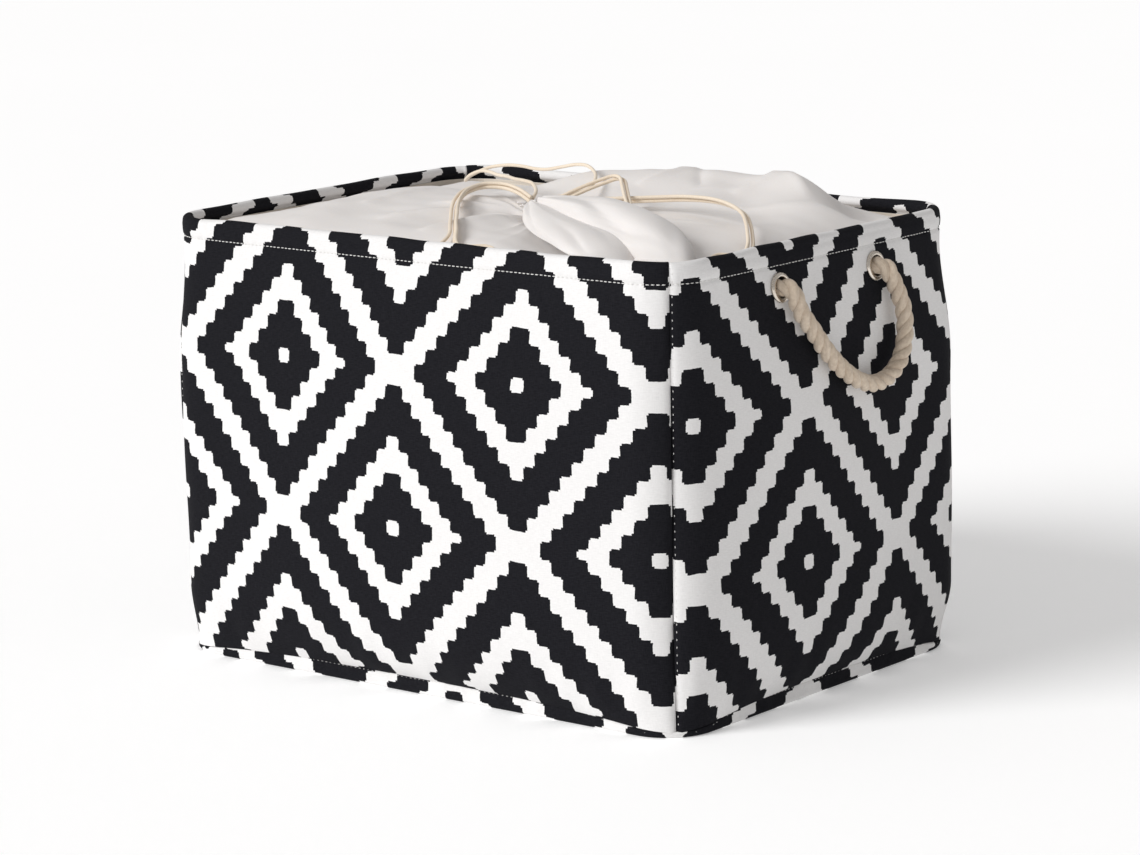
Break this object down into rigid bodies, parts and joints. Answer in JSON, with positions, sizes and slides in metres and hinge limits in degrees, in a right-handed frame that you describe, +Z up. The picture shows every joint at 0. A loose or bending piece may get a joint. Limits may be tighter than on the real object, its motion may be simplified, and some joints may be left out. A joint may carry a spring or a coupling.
{
  "type": "fabric storage bin",
  "caption": "Rectangular soft storage bin of patterned canvas over a wire rim, with rope handles through metal grommets and a gathered drawstring cover inside the rim.",
  "frame": {"origin": "middle of the base, on the surface the bin stands on", "axes": "+X along the long side, towards one handle; +Y along the short side, towards the back; +Z up"},
  "size_m": [0.4436, 0.326, 0.2998],
  "materials": {
    "printed_canvas": "matt woven canvas, black and white stepped print",
    "lining": "matt plain weave",
    "board": "plain grey board",
    "wire": "drawn wire",
    "sleeve": "crimped",
    "thread": "white sewing thread",
    "grommet": "nickel plated, polished",
    "rope": "three-strand twisted cotton",
    "cover_cloth": "thin off-white cloth with a soft sheen",
    "drawcord": "thin cream cord"
  },
  "bodies": {
    "root": {"front_panel": "printed_canvas", "back_panel": "printed_canvas", "left_panel": "printed_canvas", "right_panel": "printed_canvas", "base_panel": "printed_canvas", "front_lining": "lining", "back_lining": "lining", "left_lining": "lining", "right_lining": "lining", "base_lining": "lining", "base_board": "board", "rim_wire": "wire", "wire_sleeve": "sleeve", "hem_stitching": "thread", "corner_stitching": "thread", "base_stitching": "thread", "right_grommets": "grommet", "left_grommets": "grommet", "right_washers": "grommet", "left_washers": "grommet", "right_rope_ends": "rope", "left_rope_ends": "rope", "cover": "cover_cloth", "cover_neck": "cover_cloth", "ruffle_back_fold": "cover_cloth", "ruffle_front_fold": "cover_cloth", "drawcord_front_loop": "drawcord", "drawcord_front_tail": "drawcord", "tail_knot": "drawcord", "drawcord_back_loop": "drawcord", "drawcord_centre_loop": "drawcord", "drawcord_right_loop": "drawcord"},
    "right_handle": {"right_handle_rope": "rope"},
    "left_handle": {"left_handle_rope": "rope"}
  },
  "joints": [
    {"name": "right_handle_swing", "type": "hinge", "parent": "root", "child": "right_handle", "pos_m": [0.2105, 0, 0.25106], "axis": [0, -1, 0], "range_deg": [0, 165]},
    {"name": "left_handle_swing", "type": "hinge", "parent": "root", "child": "left_handle", "pos_m": [-0.2105, 0, 0.25106], "axis": [0, 1, 0], "range_deg": [0, 165]}
  ]
}
